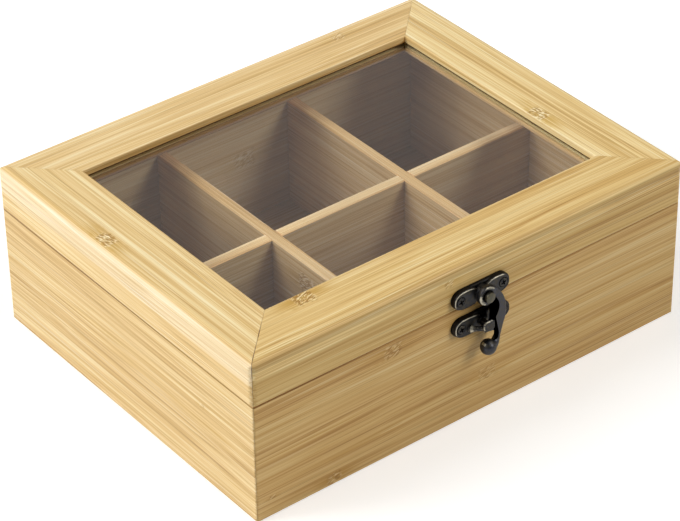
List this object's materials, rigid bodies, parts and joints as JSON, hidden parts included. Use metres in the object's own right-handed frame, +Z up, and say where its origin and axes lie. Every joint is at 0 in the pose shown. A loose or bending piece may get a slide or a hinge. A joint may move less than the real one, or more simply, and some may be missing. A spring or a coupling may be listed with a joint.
{
  "type": "tea bag organizer box",
  "caption": "Hinged bamboo box with a grid of divided compartments, a glass window in its framed lid and a swing hook latch on the front.",
  "frame": {"origin": "middle of the box's underside, on the bottom panel's face that rests on the table", "axes": "+X to the right along the latch side, +Y from the latch side towards the hinge side, +Z up"},
  "size_m": [0.217, 0.1811, 0.0755],
  "materials": {
    "bamboo_wall": "satin lacquer over straight grain",
    "bamboo_panel": "satin, unfilled grain",
    "bamboo_divider": "satin, straight grain",
    "bamboo_lid": "satin lacquer over straight grain",
    "clear_glass": "clear, polished",
    "hinge_metal": "antique bronze plating",
    "antique_bronze": "antique bronze plating, rubbed bright at the edges"
  },
  "bodies": {
    "base": {"base_front_wall": "bamboo_wall", "base_back_wall": "bamboo_wall", "base_left_wall": "bamboo_wall", "base_right_wall": "bamboo_wall", "base_bottom_panel": "bamboo_panel", "long_divider": "bamboo_divider", "short_divider_left": "bamboo_divider", "short_divider_right": "bamboo_divider", "hinge_left_base_leaf": "hinge_metal", "hinge_left_pin": "hinge_metal", "hinge_right_base_leaf": "hinge_metal", "hinge_right_pin": "hinge_metal", "hinge_base_screws": "hinge_metal", "catch_plate": "antique_bronze", "catch_plate_screws": "antique_bronze"},
    "lid": {"lid_front_rail": "bamboo_lid", "lid_back_rail": "bamboo_lid", "lid_left_rail": "bamboo_lid", "lid_right_rail": "bamboo_lid", "window_pane": "clear_glass", "hinge_left_lid_leaf": "hinge_metal", "hinge_right_lid_leaf": "hinge_metal", "hinge_lid_screws": "hinge_metal", "latch_plate": "antique_bronze", "latch_plate_screws": "antique_bronze", "latch_rivet": "antique_bronze"},
    "hook": {"latch_hook": "antique_bronze"}
  },
  "joints": [
    {"name": "lid_hinge", "type": "hinge", "parent": "base", "child": "lid", "pos_m": [0, 0.0847, 0.0555], "axis": [-1, 0, 0], "range_deg": [0, 105]},
    {"name": "latch_swing", "type": "hinge", "parent": "lid", "child": "hook", "pos_m": [0.0005, -0.09075, 0.0606], "axis": [0, -1, 0], "range_deg": [0, 300]}
  ]
}
